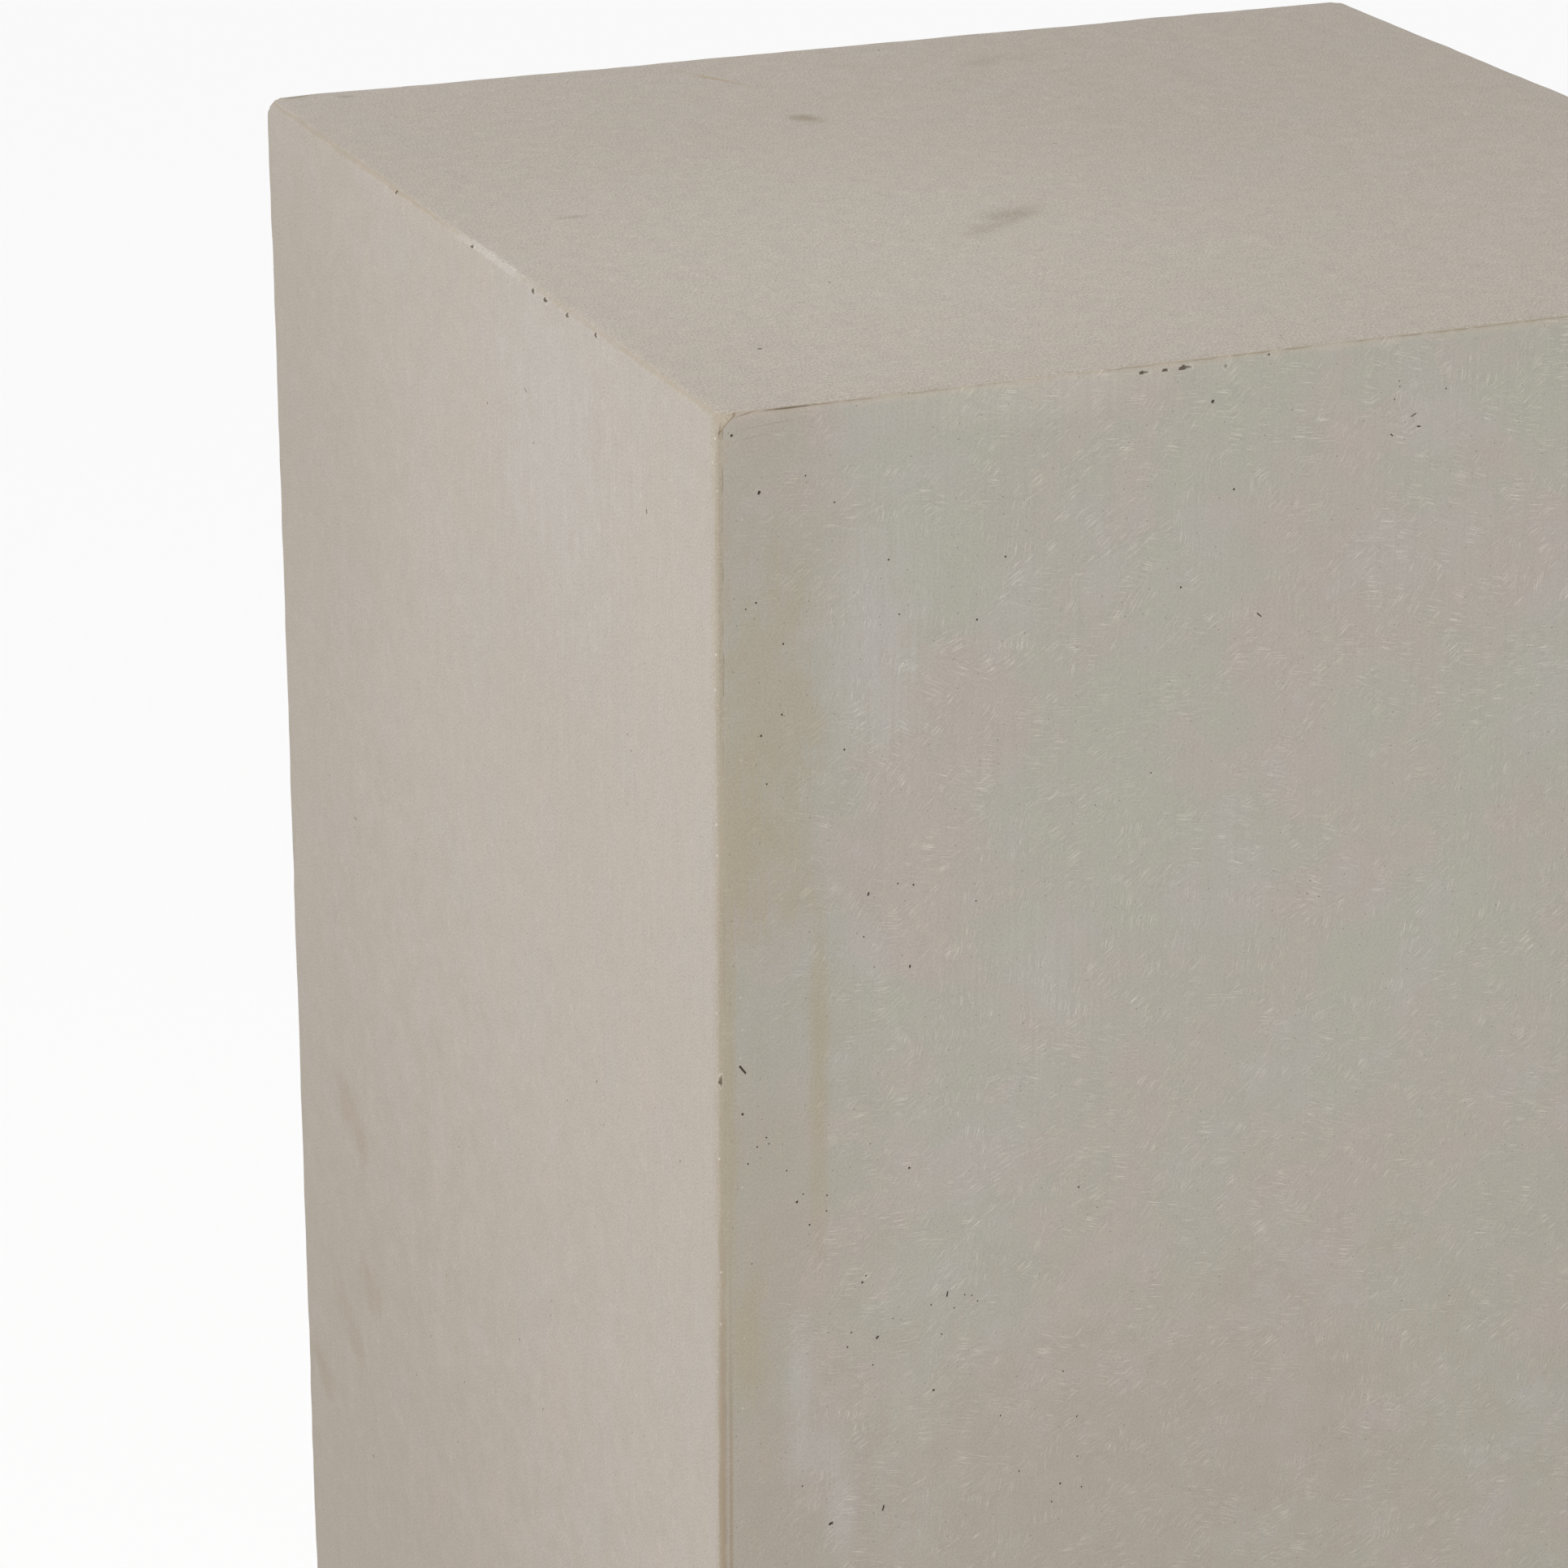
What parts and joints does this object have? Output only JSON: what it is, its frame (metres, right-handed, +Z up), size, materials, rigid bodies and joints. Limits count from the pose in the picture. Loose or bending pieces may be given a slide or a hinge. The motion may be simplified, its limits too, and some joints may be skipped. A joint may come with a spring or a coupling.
{
  "type": "decorative column",
  "caption": "Plain square decorative column cast as a hollow fibre-cement shell with a closed flat top, fine worn edges and an open underside, used to stand a vase or sculpture on.",
  "frame": {"origin": "middle of the foot, on the surface that the column stands on", "axes": "+Z up through the middle of the column, +X and +Y square to its sides, -Y towards the side that faces the viewer"},
  "size_m": [0.3, 0.3, 1],
  "materials": {
    "cement": "matte trowelled and sanded cement, warm grey with cloudy mottling, pin-holes and pale worn edges"
  },
  "bodies": {
    "root": {"column_shell": "cement"}
  },
  "joints": []
}
